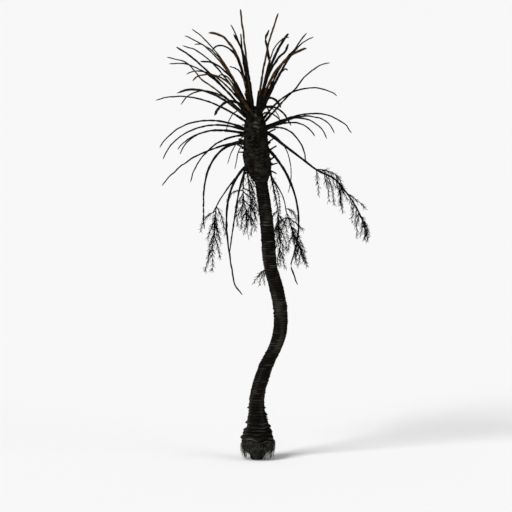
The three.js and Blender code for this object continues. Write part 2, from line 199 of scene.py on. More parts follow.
def mix_colour(nodes, links, share, first, second):
    mix = nodes.new("ShaderNodeMix")
    mix.data_type = "RGBA"
    links.new(share, mix.inputs["Factor"])
    for socket, colour in (("A", first), ("B", second)):
        target = [s for s in mix.inputs if s.name == socket and s.type == "RGBA"][0]
        if isinstance(colour, tuple):
            target.default_value = (*colour, 1)
        else:
            links.new(colour, target)
    return [s for s in mix.outputs if s.type == "RGBA"][0]


def paint_over(nodes, links, base, layers):
    """The base colour under a colour for each value stored on the piece."""
    for name, colour in layers:
        place = nodes.new("ShaderNodeAttribute")
        place.attribute_name = name
        base = mix_colour(nodes, links, place.outputs["Fac"], base, colour)
    return base


def ring_levels(foot, top, pitch_at, source):
    """Rings of a column: their heights, the share of its ledge each is at, and the ledge it is on."""
    scars = [foot]
    while scars[-1] < top - LEAST_LEDGE:
        scars.append(scars[-1] + pitch_at(scars[-1]) * source.uniform(*LEDGE_SPREAD))
    scars[-1] = top
    rows = [(low + share * (high - low), share, i)
            for i, (low, high) in enumerate(zip(scars[:-1], scars[1:])) for share in RING_SHARES]
    rows.append((top, 0.0, len(scars) - 2))
    heights, shares, ledge = np.array(rows).T
    return heights, shares, ledge.astype(int)


def bark_pitch(z):
    return LEDGE_HEIGHT + COARSE_EXTRA * math.exp(-((z - 0.5) / 0.45) ** 2)


rng = np.random.default_rng(11)
heights, shares, ledge = ring_levels(0, STEM_TOP, bark_pitch, rng)
ledges = ledge.max() + 1
turn = np.linspace(0, 2 * np.pi, BARK_SIDES, endpoint=False)[None, :]
level = heights[:, None]
boss = np.exp(-((level - BOSS_HEIGHT) / BOSS_REACH) ** 2)  # 1 in the root boss, 0 up the trunk
bulge = per_ledge(rng.uniform(0.3, 1.0, ledges), ledge) ** 1.5
lean = per_ledge(rng.uniform(0, 6.28, ledges), ledge)
step = per_ledge(rng.normal(0, 1.0, ledges), ledge)
profile = ledge_profile(shares)
ends = np.clip(level / 0.05, 0, 1) * np.clip((STEM_TOP - level) / 0.1, 0, 1)  # 0 at the flat cut and the tip
radius = stem_radius(heights)
radius = radius + ends * (0.009 + 0.022 * boss) * bulge * profile * (1 + 0.7 * np.cos(turn - lean))
radius = radius + ends * (0.0025 + 0.004 * boss) * step
radius = radius + (ends * 0.0022 * rng.normal(0, 1, len(heights))[:, None]
                   * (0.6 + 0.6 * np.cos(turn + 3 * lean)))
radius = radius + ends * (0.003 + 0.009 * boss) * waves(turn, level, 3, (4, 11), (2, 9))
radius = radius + ends * (0.0014 + 0.003 * boss) * waves(turn, level, 4, (13, 27), (1, 16), 10)
radius = radius - ends * 0.006 * (shares < 0.05)[:, None] * (0.6 + 0.4 * np.sin(turn * 2 + lean))
knobbly = per_ledge(rng.uniform(0, 1, ledges) > PLAIN_SHARE, ledge) * (level < KNOB_TOP) * (level > KNOB_FOOT)
bumps = sum(np.clip(np.cos(turn - lean - i * GOLDEN_TURN), 0, 1) ** 8 for i in range(KNOBS))
radius = radius + ends * KNOB_SIZE * knobbly * profile * bumps
tilt = ends * (0.006 * np.cos(turn - 2.2 * level)
               + (0.0035 + 0.008 * boss) * waves(turn, level, 5, (2, 8), (5, 24)))
z = np.clip(level + tilt * (level > 0.02), 0, STEM_TOP + 0.01)
z[0, :] = 0
trunk = mesh_object("trunk_bark", column_points(stem_offset(heights), radius, turn, z),
                    tube_faces(len(heights), BARK_SIDES))
smooth(trunk)
worn_stretch = sum(np.exp(-((level - at) / half) ** 2) for at, half in WORN_STRETCHES)
# The pale crest of each ledge is part weathering and part painted highlight, lighter where the light falls on
# it; the worn stretches and the boss have more of it.
strength = np.maximum(per_ledge(rng.uniform(0.2, 1, ledges), ledge) ** 2, 0.8 * boss)
edge = (np.abs(shares - 0.3) < 0.18)[:, None] * strength
patchy = 0.35 + 0.1 * boss + 0.75 * waves(turn, level, 8, (0, 4), (5, 60), 9)
faded = (0.55 * worn_stretch + 0.3 * np.exp(-((level - BOSS_HEIGHT) / 0.17) ** 2)
         + 0.55 * waves(turn, level, 9, (1, 4), (0.5, 5)) - 0.25)
# Painted shade: near each ledge's scar, in the groove between two ledges, the bark is painted near black
# where shade falls.
near_scar = np.maximum(1 - shares / 0.3, (shares - 0.8) / 0.2)[:, None].clip(0, 1)
store(trunk,
      worn=np.clip((0.45 + 0.9 * worn_stretch + 0.2 * boss) * edge * patchy, 0, 1),
      faded=np.clip(faded, 0, 1),
      groove=0.9 * near_scar * np.ones_like(turn))

bark_mat, nodes, links, shader = new_material("ringed bark", 0.88)
grain = stretched_noise(nodes, links, (1, 1, 3.0), 22, 8)
base = colour_ramp(nodes, links, grain, [(0.32, (0.0015, 0.0014, 0.0012)), (0.52, (0.0048, 0.0044, 0.0036)),
                                         (0.72, (0.016, 0.0148, 0.012))])
# Over the grain: paler faded patches, the pale ledge crests that are part wear and part painted highlight,
# and painted shade in the grooves at the scars.
base = paint_over(nodes, links, base, [("faded", (0.030, 0.0275, 0.021)), ("worn", (0.10, 0.092, 0.072)),
                                       ("groove", (0.0012, 0.0011, 0.001))])
links.new(base, shader.inputs["Base Color"])
add_bump(nodes, links, shader, stretched_noise(nodes, links, (1, 1, 0.35), 90, 5), 0.004)
trunk.data.materials.append(bark_mat)
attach(trunk, "root")
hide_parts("trunk")

# ---- Rootlets ---------------------------------------------------------------------------------------------
# Hundreds of fine dry rootlets sprout from the boss all round, bend over and hang toward the ground in a
# fringe. They are thin pale strings, each fixed in the bark where it broke through.
ROOTLETS = 800
ROOTLET_HEIGHTS = (0.2, 0.42)  # where they break out of the boss
ROOTLET_ARCH = (0.02, 0.075)  # how far they stand out where they bend over
ROOTLET_DROP = (0.08, 0.26)
ROOTLET_INWARD = (0.0, 0.07)  # how far their tips hang back in
ROOTLET_RADIUS = (0.002, 0.004)
FRINGE_RADIUS = 0.36  # the fringe's edge, from the stem's middle
TIP_CLEARANCE, GROUND_CLEARANCE = 0.006, 0.001  # over the ground, at the tips and anywhere else


def sweep(name, lines, radii, sides, flatness, wobble, seed, material):
    """Closed tubes of a flattened section along many lines, with a radius at every point, as one mesh."""
    curve = bpy.data.curves.new(name, "CURVE")
    curve.dimensions = "3D"
    for line, radius in zip(lines, radii):
        spline = curve.splines.new("POLY")
        spline.points.add(len(line) - 1)
        spline.points.foreach_set("co", [c for p in line for c in (*p, 1.0)])
        spline.points.foreach_set("radius", [float(r) for r in radius])
    holder = bpy.data.objects.new(name + "_lines", curve)
    bpy.context.scene.collection.objects.link(holder)

    tree = bpy.data.node_groups.new(name + " sweep", "GeometryNodeTree")
    ids = {}
    tree.interface.new_socket("Geometry", in_out="INPUT", socket_type="NodeSocketGeometry")
    for label, kind in (("Sides", "Int"), ("Flatness", "Float"), ("Wobble", "Float"), ("Seed", "Float")):
        socket = tree.interface.new_socket(label, in_out="INPUT", socket_type="NodeSocket" + kind)
        ids[label] = socket.identifier
    tree.interface.new_socket("Geometry", in_out="OUTPUT", socket_type="NodeSocketGeometry")
    node, link = tree.nodes.new, tree.links.new
    given, result = node("NodeGroupInput"), node("NodeGroupOutput")
    noise = node("ShaderNodeTexNoise")
    noise.noise_dimensions = "4D"
    noise.inputs["Scale"].default_value = 5.0
    noise.inputs["Detail"].default_value = 3.0
    centred = node("ShaderNodeVectorMath")
    centred.operation = "SUBTRACT"
    centred.inputs[1].default_value = (0.5, 0.5, 0.5)
    scaled = node("ShaderNodeVectorMath")
    scaled.operation = "SCALE"
    parameter = node("GeometryNodeSplineParameter")
    amount = node("ShaderNodeMath")
    amount.operation = "MULTIPLY"
    shift = node("GeometryNodeSetPosition")
    along = node("GeometryNodeStoreNamedAttribute")
    along.data_type = "FLOAT"
    along.domain = "POINT"
    along.inputs["Name"].default_value = "along"
    upright = node("GeometryNodeSetCurveNormal")
    upright.mode = "Z_UP"
    circle = node("GeometryNodeCurvePrimitiveCircle")
    circle.inputs["Radius"].default_value = 1.0
    squash = node("GeometryNodeTransform")
    vector = node("ShaderNodeCombineXYZ")
    vector.inputs["X"].default_value = 1.0
    vector.inputs["Z"].default_value = 1.0
    to_mesh = node("GeometryNodeCurveToMesh")
    to_mesh.inputs["Fill Caps"].default_value = True
    own_radius = node("GeometryNodeInputRadius")
    shade = node("GeometryNodeSetShadeSmooth")
    realize = node("GeometryNodeRealizeInstances")
    paint = node("GeometryNodeSetMaterial")
    paint.inputs["Material"].default_value = material
    link(given.outputs["Seed"], noise.inputs["W"])
    link(noise.outputs["Color"], centred.inputs[0])
    link(centred.outputs[0], scaled.inputs[0])
    link(parameter.outputs["Factor"], amount.inputs[0])
    link(given.outputs["Wobble"], amount.inputs[1])
    link(amount.outputs[0], scaled.inputs["Scale"])
    link(given.outputs["Geometry"], shift.inputs["Geometry"])
    link(scaled.outputs[0], shift.inputs["Offset"])
    link(shift.outputs["Geometry"], along.inputs["Geometry"])
    link(parameter.outputs["Factor"], along.inputs["Value"])
    link(along.outputs["Geometry"], upright.inputs["Curve"])
    link(given.outputs["Sides"], circle.inputs["Resolution"])
    link(given.outputs["Flatness"], vector.inputs["Y"])
    link(circle.outputs["Curve"], squash.inputs["Geometry"])
    link(vector.outputs["Vector"], squash.inputs["Scale"])
    link(upright.outputs["Curve"], to_mesh.inputs["Curve"])
    link(squash.outputs["Geometry"], to_mesh.inputs["Profile Curve"])
    link(own_radius.outputs["Radius"], to_mesh.inputs["Scale"])
    link(to_mesh.outputs["Mesh"], shade.inputs["Geometry"])
    link(shade.outputs["Geometry"], realize.inputs["Geometry"])
    link(realize.outputs["Geometry"], paint.inputs["Geometry"])
    link(paint.outputs["Geometry"], result.inputs["Geometry"])

    modifier = holder.modifiers.new("sweep", "NODES")
    modifier.node_group = tree
    for label, value in (("Sides", sides), ("Flatness", flatness), ("Wobble", wobble), ("Seed", float(seed))):
        modifier[ids[label]] = value
    graph = bpy.context.evaluated_depsgraph_get()
    mesh = bpy.data.meshes.new_from_object(holder.evaluated_get(graph), depsgraph=graph)
    bpy.data.objects.remove(holder)
    piece = bpy.data.objects.new(name, mesh)
    bpy.context.scene.collection.objects.link(piece)
    return piece


rng = np.random.default_rng(23)
share = np.linspace(0, 1, 7)
lines, radii = [], []
for _ in range(ROOTLETS):
    start_z = rng.uniform(*ROOTLET_HEIGHTS)
    way = rng.uniform(0, 2 * np.pi)
    reach = float(stem_radius(start_z)[0, 0])
    arch = rng.uniform(*ROOTLET_ARCH)
    drop = min(rng.uniform(*ROOTLET_DROP), start_z - TIP_CLEARANCE)
    inward = rng.uniform(*ROOTLET_INWARD)
    out = reach - 0.01 + arch * np.sin(np.pi * np.minimum(share * 1.6, 1) * 0.5) - inward * share ** 2
    out = np.minimum(out, FRINGE_RADIUS)
    turned = way + rng.normal(0, 0.10) * share ** 1.5
    mid = stem_offset(start_z)[0]
    height = start_z + 0.012 * np.sin(np.pi * share) - drop * share ** 1.35
    lines.append(np.stack([mid[0] + out * np.cos(turned), mid[1] + out * np.sin(turned), height], -1))
    radii.append(rng.uniform(*ROOTLET_RADIUS) * (1 - 0.6 * share))
root_mat, nodes, links, shader = new_material("dry rootlets", 0.9)
tone = stretched_noise(nodes, links, (1, 1, 1), 14, 2)
links.new(colour_ramp(nodes, links, tone, [(0.38, (0.010, 0.009, 0.007)), (0.68, (0.075, 0.071, 0.060))]),
          shader.inputs["Base Color"])
add_bump(nodes, links, shader, stretched_noise(nodes, links, (1, 1, 4), 200, 2), 0.0006, 0.4)
rootlets = sweep("rootlets", lines, radii, sides=4, flatness=1.0, wobble=0.02, seed=5, material=root_mat)
spots = np.zeros(len(rootlets.data.vertices) * 3)
rootlets.data.vertices.foreach_get("co", spots)
spots[2::3] = np.maximum(spots[2::3], GROUND_CLEARANCE)
rootlets.data.vertices.foreach_set("co", spots)
rootlets.data.update()
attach(rootlets, "root")
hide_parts("root_skirt")

# ---- Old leaf bases ---------------------------------------------------------------------------------------
# The sheaths of fallen fronds still clasp the stem under the crown. Each is a tough fibrous wrap, high on the
# side its frond grew from and dipping in a U on the other, and each wraps the next one up at its foot.
BOOT_FOOT, BOOT_TOP = 5.6, 7.04
BOOT_RADIUS = [
    (BOOT_FOOT, 0.145), (5.7, 0.195), (5.84, 0.246), (6.05, 0.272), (6.25, 0.258), (6.45, 0.236),
    (6.6, 0.242), (6.75, 0.212), (6.88, 0.178), (BOOT_TOP, 0.118),
]
BOOT_SIDES = 72
WRAPS = 46
WRAP_COLUMNS, WRAP_ROWS = 22, 7
WRAP_DEPTH = 0.034  # how far the wraps' rims stand over the core
WRAP_THICKNESS = 0.009  # at its foot
WRAP_HEIGHT, WRAP_SPREAD = (0.2, 0.42), (0.5, 0.85)  # from foot to rim, and radians round to each side
LOWEST_WRAP = 0.04  # the lowest wrap's foot over the core's
WRAPS_SHORT = 0.22  # how much shorter than the core the stretch is that the wraps' feet take up
FRONT = 4.71  # the side where the sheaths have fallen and the rings under them show
BARE_SPREAD = 0.7
YOUNG_SCARS = (6.63, 6.71, 6.8, 6.92)  # heights of the youngest, still greenish scars
YOUNG_SCAR_RISE = 0.05  # how much higher they run at the back

boot_radius = by_height(BOOT_RADIUS)
rng = np.random.default_rng(37)
heights, shares, ledge = ring_levels(BOOT_FOOT, BOOT_TOP, lambda z: 0.055 + 0.02 * (z > 6.6), rng)
turn = np.linspace(0, 2 * np.pi, BOOT_SIDES, endpoint=False)[None, :]
level = heights[:, None]
bulge = per_ledge(rng.uniform(0.4, 1.0, ledge.max() + 1), ledge)
lean = per_ledge(rng.uniform(0, 6.28, ledge.max() + 1), ledge)
swell = 0.018 * bulge * ledge_profile(shares) * (1 + 0.7 * np.cos(turn - lean))
radius = boot_radius(heights) - WRAP_DEPTH * 0.6 + swell
radius = radius + 0.006 * waves(turn, level, 31, (4, 15), (8, 40), 9) - 0.010 * (shares < 0.05)[:, None]
rise = level + 0.014 * waves(turn, level, 32, (2, 8), (2, 9)) * np.clip((level - BOOT_FOOT) / 0.1, 0, 1)
core_points = column_points(stem_offset(heights), radius, turn, rise)
points, faces = [tuple(p) for p in core_points], tube_faces(len(heights), BOOT_SIDES)
bare = np.exp(-((np.mod(turn - FRONT + np.pi, 2 * np.pi) - np.pi) / BARE_SPREAD) ** 2)
# On the bare front of the core the ledge crests are painted paler: part wear, part painted highlight where
# the light falls.
edge = (np.abs(shares - 0.35) < 0.2)[:, None] * bulge ** 2
core_worn = np.clip(edge * bare * (0.2 + 0.8 * waves(turn, level, 33, (3, 12), (3, 14))), 0, 1)
scars = sum(np.exp(-((level - at - YOUNG_SCAR_RISE * (1 - bare)) / 0.016) ** 2) for at in YOUNG_SCARS)
core_green = np.clip(scars * bare ** 4, 0, 1)


def add_wrap(azimuth, foot, tall, spread, rng):
    """One clasping sheath as a closed thin shell: its outer skin, its inner skin and the rim between them."""
    across = np.linspace(-1, 1, WRAP_COLUMNS)[None, :]
    up = np.linspace(0, 1, WRAP_ROWS)[:, None]
    fray = rng.normal(0, 0.006, WRAP_COLUMNS)[None, :]
    fray = fray + 0.010 * waves(across * 3, 0 * across, rng.integers(99), (2, 9), (0, 1))
    dip = np.cos(across * 1.45) ** 1.2
    height = foot + (tall * (0.2 + 0.8 * dip) + fray) * up
    height = np.clip(height, BOOT_FOOT + 0.005, BOOT_TOP + 0.05)
    side = azimuth + across * spread + 0 * up
    body = boot_radius(np.minimum(height, BOOT_TOP).ravel()).reshape(height.shape) - WRAP_DEPTH
    body = body + WRAP_DEPTH * (0.15 + rng.uniform(0.75, 1.1) * up ** 1.4) * (0.75 + 0.25 * dip)
    body = body + 0.0022 * waves(side, height, rng.integers(99), (9, 22), (4, 12), 6)
    middle = stem_offset(height.ravel()).reshape(*height.shape, 2)
    first = len(points)
    for thickness in (WRAP_THICKNESS, 0.0):
        out = body + thickness * (1 - 0.5 * up)
        x, y = middle[..., 0] + out * np.cos(side), middle[..., 1] + out * np.sin(side)
        skin = np.stack([x, y, height], -1)
        points.extend(map(tuple, skin.reshape(-1, 3)))
    size = WRAP_COLUMNS * WRAP_ROWS
    for i in range(WRAP_ROWS - 1):
        for j in range(WRAP_COLUMNS - 1):
            a = first + i * WRAP_COLUMNS + j
            b = a + WRAP_COLUMNS
            faces.append((a, a + 1, b + 1, b))
            faces.append((a + size, b + size, b + size + 1, a + size + 1))
    for j in range(WRAP_COLUMNS - 1):
        low, high = first + j, first + size - WRAP_COLUMNS + j
        faces.append((low + 1, low, low + size, low + size + 1))
        faces.append((high, high + 1, high + size + 1, high + size))
    for i in range(WRAP_ROWS - 1):
        near, far = first + i * WRAP_COLUMNS, first + (i + 1) * WRAP_COLUMNS - 1
        faces.append((near, near + WRAP_COLUMNS, near + WRAP_COLUMNS + size, near + size))
        faces.append((far + WRAP_COLUMNS, far, far + size, far + WRAP_COLUMNS + size))


rng = np.random.default_rng(41)
for i in range(WRAPS):
    foot = BOOT_FOOT + LOWEST_WRAP + i / (WRAPS - 1) * (BOOT_TOP - BOOT_FOOT - WRAPS_SHORT)
    side = (i * GOLDEN_TURN + rng.normal(0, 0.15)) % (2 * np.pi)
    if abs(side - FRONT) < BARE_SPREAD:
        side = FRONT + math.copysign(BARE_SPREAD + rng.uniform(0.1, 0.4), side - FRONT)
    add_wrap(side, foot, rng.uniform(*WRAP_HEIGHT), rng.uniform(*WRAP_SPREAD), rng)
on_wraps = np.zeros(len(points) - core_worn.size)
leaf_bases = mesh_object("leaf_base_wraps", points, faces)
smooth(leaf_bases)
store(leaf_bases, worn=np.append(core_worn, on_wraps), green=np.append(core_green, on_wraps))
boot_mat, nodes, links, shader = new_material("fibrous leaf base", 0.9)
fibre = stretched_noise(nodes, links, (1, 1, 5.0), 16, 8)
base = colour_ramp(nodes, links, fibre, [(0.34, (0.0012, 0.0011, 0.001)), (0.56, (0.0058, 0.0048, 0.0038)),
                                         (0.74, (0.030, 0.0245, 0.0185))])
patches = colour_ramp(nodes, links, stretched_noise(nodes, links, (1, 1, 1.6), 7, 4),
                      [(0.46, (0, 0, 0)), (0.66, (0.7, 0.7, 0.7))])
base = mix_colour(nodes, links, patches, base, (0.030, 0.0265, 0.0215))
# Painted over it: the paler crests on the bare front, part wear and part painted highlight, and the greenish
# young scars.
base = paint_over(nodes, links, base, [("worn", (0.066, 0.053, 0.039)), ("green", (0.080, 0.082, 0.048))])
links.new(base, shader.inputs["Base Color"])
add_bump(nodes, links, shader, stretched_noise(nodes, links, (1, 1, 0.2), 140, 4), 0.004)
leaf_bases.data.materials.append(boot_mat)
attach(leaf_bases, "root")
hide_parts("leaf_bases")

# ---- Frond ribs -------------------------------------------------------------------------------------------
# What is left of the fronds: woody ribs, broad where they leave the leaf bases and thin at the tip. They
# rise, arch and hang as they dried. The youngest are still warm brown, the rest have weathered black or grey.
RIB_WIDTH = 0.057
RIB_TIP, BLUNT_TIP = 0.5, 0.75  # width at the tip over width at the root, on most ribs and on the blunt ones
RIB_FLARE = 0.5  # how much wider the root is, where it clasps the stem
RIB_ROUGHNESS = 0.09
RIB_POINTS = 36
FINE_STEPS = 4  # small steps a limb is bent in, to each of its points
ROOT_SHARE = 0.4  # how far out from the axis a rib starts, over the leaf bases' radius
KINK_SPREAD = 0.05  # half the share of a limb's length that a kink takes


def limb_line(azimuth, lift, droop, length, start, curl=1.5, kinks=(), sway=0.0, points=RIB_POINTS):
    """The middle line of a limb that leaves start at lift degrees over level and bends down by droop."""
    count = points * FINE_STEPS
    u = (np.arange(count) + 0.5) / count
    bent = u**curl if curl > 0 else 1 - (1 - u) ** -curl
    angle = lift - droop * bent
    for at, by in kinks:
        t = np.clip((u - at + KINK_SPREAD) / (2 * KINK_SPREAD), 0, 1)
        angle = angle + by * t * t * (3 - 2 * t)
    angle, way = np.radians(angle), np.radians(azimuth + sway * u)
    steps = np.stack([np.cos(angle) * np.cos(way), np.cos(angle) * np.sin(way), np.sin(angle)], -1)
    line = np.vstack([np.zeros(3), np.cumsum(steps * length / count, 0)]) + np.asarray(start, float)
    return line[::FINE_STEPS]


def root_point(azimuth, height, out=ROOT_SHARE):
    middle, reach = stem_offset(height)[0], float(boot_radius(height)[0, 0]) * out
    way = math.radians(azimuth)
    return np.array([middle[0] + reach * math.cos(way), middle[1] + reach * math.sin(way), height])


def taper(width, tip=RIB_TIP):
    """Half widths along a limb: flared where it clasps the stem, thin at the tip, rough all along."""
    u = np.linspace(0, 1, RIB_POINTS + 1)
    rough = 1 + RIB_ROUGHNESS * np.random.default_rng(round(width * 1e4)).normal(0, 1, RIB_POINTS + 1)
    half = width / 2 * (1 - (1 - tip) * u**0.8) * (1 + RIB_FLARE * np.exp(-u * 11)) * rough
    half[-1] *= 0.5
    return half


ribs = {"brown": [], "black": [], "grey": []}
rib_nodes = {"brown": [], "black": [], "grey": []}


def rib(node, colour, azimuth, root, lift, droop, length, width=RIB_WIDTH, tip=RIB_TIP, **bend):
    """A rib that stands for the node, or for none where it is a twin from the root of the rib above it."""
    ribs[colour].append((limb_line(azimuth, lift, droop, length, root_point(azimuth, root), **bend),
                         taper(width, tip)))
    if node:
        rib_nodes[colour].append(node)


# left_low_6, left_hanging, right_low_5 and right_hanging hold values rounded from a search, not set by hand.
rib("spear_left_tall", "brown", 195, 7.04, 83, 0, 2.04, tip=BLUNT_TIP)
rib("spear_right_tall", "brown", 350, 7.03, 82, 15, 2.0, curl=2.5, tip=BLUNT_TIP)
rib("spear_front", "black", 235, 7.01, 80, 40, 1.78, curl=2, tip=BLUNT_TIP)
rib("spear_left_curled", "brown", 170, 6.98, 77, 84, 1.96, 0.074, curl=4, tip=BLUNT_TIP)
rib(None, "black", 170, 6.98, 77, 140, 1.78, 0.074, curl=5, sway=14)
rib("spear_back", "black", 118, 6.99, 66, 76, 1.42, curl=1.8)
rib(None, "black", 118, 6.99, 60, 40, 2.0, curl=2.5, sway=-30)
rib(None, "black", 118, 6.99, 72, 30, 1.9, curl=3, sway=12)
rib("left_high_1", "brown", 158, 6.94, 62, 31, 2.15, curl=2.2)
rib("left_high_2", "brown", 189, 6.93, 63, 46, 2.16, curl=2.5)
rib("left_high_3", "black", 144, 6.9, 57, 68, 2.09, curl=4)
rib("left_high_4", "black", 207, 6.9, 55, 44, 2.19, curl=3)
rib("left_high_5", "black", 180, 6.86, 49, 20, 2.09, curl=3, tip=BLUNT_TIP)
rib(None, "black", 180, 6.86, 49, 64, 2.08, curl=3, sway=-12)
rib("left_high_6", "black", 221, 6.93, 58, 62, 1.88, curl=2.5, tip=BLUNT_TIP)
rib(None, "brown", 221, 6.93, 53, 90, 1.86, 0.070, curl=2.5, sway=-8)
rib("left_high_7", "black", 130, 6.9, 46, 112, 1.44, curl=6)
rib(None, "black", 130, 6.9, 38, 70, 2.06, curl=3.4, sway=16)
rib("left_mid_1", "brown", 170, 6.82, 43, 36, 2.16, curl=2, kinks=((0.6, 24), (0.82, -26)))
rib("left_mid_2", "black", 150, 6.79, 36, 64, 1.91, curl=2.2)
rib(None, "grey", 150, 6.79, 36, 58, 1.78, curl=2.2, sway=6)
rib("left_mid_3", "black", 211, 6.79, 45, 102, 1.95, curl=2.3)
rib("left_mid_4", "black", 184, 6.74, 35, 54, 2.05, curl=1.7)
rib("left_mid_5", "black", 238, 6.83, 46, 92, 1.64, 0.074, curl=1.5, tip=BLUNT_TIP)
rib(None, "grey", 238, 6.83, 46, 116, 1.4, 0.038, curl=1.2, sway=10)
rib("left_low_1_inner", "black", 190, 6.62, 25, 86, 2.06)
rib("left_low_2", "black", 168, 6.6, 18, 88, 2.11, curl=1.4)
rib("left_low_3", "black", 150, 6.53, 8, 62, 1.84, curl=2)
rib(None, "black", 150, 6.53, 1, 78, 1.84, curl=1.1, sway=8)
rib("left_low_4", "black", 214, 6.56, 12, 78, 1.88, curl=2.5)
rib("left_low_5", "black", 180, 6.45, -10, 46, 2.07, curl=1.6)
rib("left_low_6", "black", 200, 6.31, 34, 127, 2.34, 0.072, curl=-2.4)
rib("left_low_7", "grey", 250, 6.56, 8, 80, 1.36, 0.038, curl=1.2)
rib(None, "grey", 250, 6.56, 14, 80, 1.36, 0.038, curl=1.2, sway=-16)
rib("left_hanging", "black", 192, 6.01, -30, 70, 2.9, 0.066, curl=-3.1, kinks=((0.91, -26),))
rib("back_low_1", "grey", 100, 6.48, -16, 55, 1.34, 0.042)
rib(None, "black", 100, 6.48, -7, 55, 1.74, sway=-10)
rib("back_low_2", "black", 84, 6.7, 8, 62, 1.8)
rib(None, "grey", 84, 6.7, 20, 60, 1.9, sway=-24)
rib(None, "black", 84, 6.7, 34, 84, 1.9, sway=-8)
rib("right_high_1", "black", 35, 6.97, 73, 2, 1.74, 0.064, kinks=((0.6, 32), (0.9, -48)), tip=BLUNT_TIP)
rib(None, "black", 35, 6.97, 75, 20, 1.64, curl=2, sway=-20)
rib("right_high_2", "black", 332, 6.97, 77, 26, 1.8, 0.080, curl=1.6, tip=BLUNT_TIP)
rib(None, "brown", 332, 6.97, 77, 78, 1.78, 0.053, curl=6, sway=12)
rib("right_high_3", "black", 312, 6.93, 73, 56, 1.8, 0.066, curl=2, kinks=((0.9, 44),), tip=BLUNT_TIP)
rib("right_high_4", "brown", 16, 6.92, 74, 64, 1.76, 0.078, curl=2, tip=BLUNT_TIP)
rib(None, "black", 16, 6.92, 66, 50, 1.66, 0.070, curl=3, sway=32)
rib(None, "black", 16, 6.92, 60, 95, 1.32, 0.070, curl=5, sway=50)
rib("right_high_5", "black", 354, 6.89, 67, 16, 1.96, 0.066)
rib("right_high_6", "black", 26, 6.86, 62, 48, 2.06, curl=4)
rib("right_mid_1", "black", 345, 6.7, 48, 54, 1.98, curl=4, kinks=((0.55, 12),))
rib("right_mid_2", "black", 8, 6.74, 58, 96, 1.88)
rib("right_mid_3", "black", 298, 6.88, 60, 110, 1.24, 0.072, tip=BLUNT_TIP)
rib(None, "grey", 298, 6.88, 46, 106, 1.0, 0.038, sway=8)
rib(None, "black", 298, 6.88, 52, 116, 1.33, 0.072, curl=1.1, sway=20)
rib("right_low_1_inner", "black", 356, 6.62, 28, 88, 2.03, curl=2)
rib("right_low_2", "black", 334, 6.6, 25, 96, 1.83, curl=3)
rib("right_low_3", "black", 32, 6.64, 20, 90, 1.81, curl=2)
rib(None, "black", 32, 6.64, 12, 62, 1.63, curl=2, sway=24)
rib("right_low_4", "black", 314, 6.59, 26, 112, 1.69, curl=1.4)
rib("right_low_5", "grey", 14, 6.62, -4, 96, 1.58, 0.038, curl=-1.7)
rib("right_hanging", "black", 2, 6.4, -41, 85, 3.13, 0.068, curl=1.05, kinks=((0.87, 52),))
rib_nodes["black"] += ["left_low_1_outer", "right_low_1_outer"]  # the outer lengths of two ribs above


def dry_wood(name, dark, middle, light, roughness=0.72):
    """Weathered fibrous wood: streaks of three tones, a fine grain to feel, and a darker tip."""
    mat, nodes, links, shader = new_material(name, roughness)
    streak = stretched_noise(nodes, links, (1, 1, 1), 9, 6)
    tones = colour_ramp(nodes, links, streak, [(0.32, dark), (0.52, middle), (0.72, light)])
    tip = nodes.new("ShaderNodeAttribute")
    tip.attribute_name = "along"
    fade = nodes.new("ShaderNodeMapRange")
    fade.inputs["From Min"].default_value = 0.55
    fade.inputs["From Max"].default_value = 1.0
    fade.inputs["To Max"].default_value = 0.5
    links.new(tip.outputs["Fac"], fade.inputs["Value"])
    links.new(mix_colour(nodes, links, fade.outputs["Result"], tones, (0.014, 0.0125, 0.010)),
              shader.inputs["Base Color"])
    add_bump(nodes, links, shader, stretched_noise(nodes, links, (1, 1, 1), 120, 3), 0.002)
    return mat


rib_mats = {
    "brown": dry_wood("brown dry rib", (0.010, 0.006, 0.002), (0.055, 0.027, 0.008), (0.14, 0.08, 0.026)),
    "black": dry_wood("black weathered rib",
                      (0.0015, 0.0014, 0.0013), (0.0045, 0.004, 0.003), (0.016, 0.013, 0.009)),
    "grey": dry_wood("grey weathered rib",
                     (0.008, 0.007, 0.006), (0.020, 0.0185, 0.0155), (0.05, 0.046, 0.038)),
}
for seed, colour in enumerate(ribs):
    lines, radii = zip(*ribs[colour])
    piece = sweep("ribs_" + colour, lines, radii, sides=8, flatness=0.85, wobble=0.07, seed=seed,
                  material=rib_mats[colour])
    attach(piece, "root")
    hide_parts(*rib_nodes[colour])

# ---- Broken stubs -----------------------------------------------------------------------------------------
# Short ends of ribs that snapped off. Most stick out of the leaf bases, thick and blunt, each still fixed in
# its wrap, and some stand upright in the heart of the crown.
STUBS = [  # azimuth, height, lift, length past the leaf bases
    (184, 6.66, 32, 0.13), (176, 6.27, 28, 0.13), (196, 6.2, 6, 0.10), (4, 6.56, 30, 0.17),
    (352, 6.36, 42, 0.14), (8, 6.2, 36, 0.17), (350, 5.84, -20, 0.12), (188, 5.82, -30, 0.09),
    (356, 6.02, 40, 0.14), (10, 5.92, 20, 0.13), (182, 6.42, 20, 0.11),
    (206, 6.98, 80, 0.42), (236, 7.0, 84, 0.26), (322, 6.98, 78, 0.48), (300, 7.0, 83, 0.3),
    (345, 6.96, 72, 0.4), (70, 6.98, 76, 0.4), (110, 6.98, 80, 0.3), (150, 6.98, 74, 0.36),
]
SMALL_STUBS = 22  # more of them, dealt out all round
SMALL_STUB_TURN = 137.5  # degrees round the stem from one to the next
STUB_DEPTH = 0.04  # how deep in the leaf bases a stub starts
STUB_HIDDEN = 0.05  # the length of it inside them
STUB_DROOP, STUB_POINTS = 8, 6
rng = np.random.default_rng(53)
for i in range(SMALL_STUBS):
    height, lift = rng.uniform(5.8, 6.8), rng.uniform(10, 55)
    STUBS.append((i * SMALL_STUB_TURN + 60, height, lift, rng.uniform(0.03, 0.07)))
lines, radii = [], []
